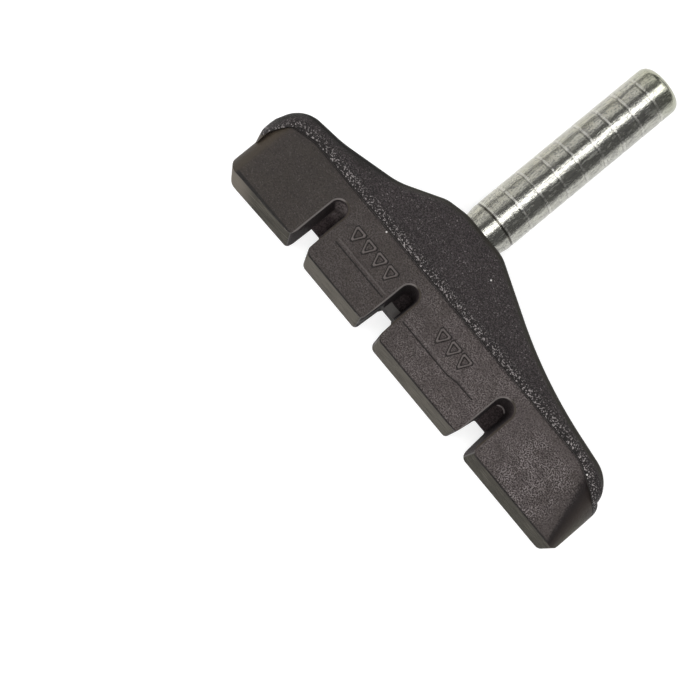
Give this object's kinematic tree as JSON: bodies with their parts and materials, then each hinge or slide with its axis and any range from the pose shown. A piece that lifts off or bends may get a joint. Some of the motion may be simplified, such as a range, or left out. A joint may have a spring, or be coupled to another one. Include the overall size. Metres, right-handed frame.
{
  "type": "bicycle rim brake pad",
  "caption": "Long slotted rubber block on a humped backing, with a smooth round steel post that stands out of its back for a rim brake arm's clamp.",
  "frame": {"origin": "on the post's axis, 21.3 mm from the friction face, where the post first has its full diameter and a clamp can hold it", "axes": "+X along the rim to the long end, +Y along the post to its tip, away from the friction face, +Z through the pad's height"},
  "size_m": [0.0641, 0.0508, 0.0124],
  "materials": {
    "rubber": "matt, grained moulding",
    "plate_steel": "bare pressed steel",
    "post_steel": "zinc plated, satin"
  },
  "bodies": {
    "root": {"rubber_pad": "rubber", "backing_plate": "plate_steel", "post": "post_steel"}
  },
  "joints": []
}
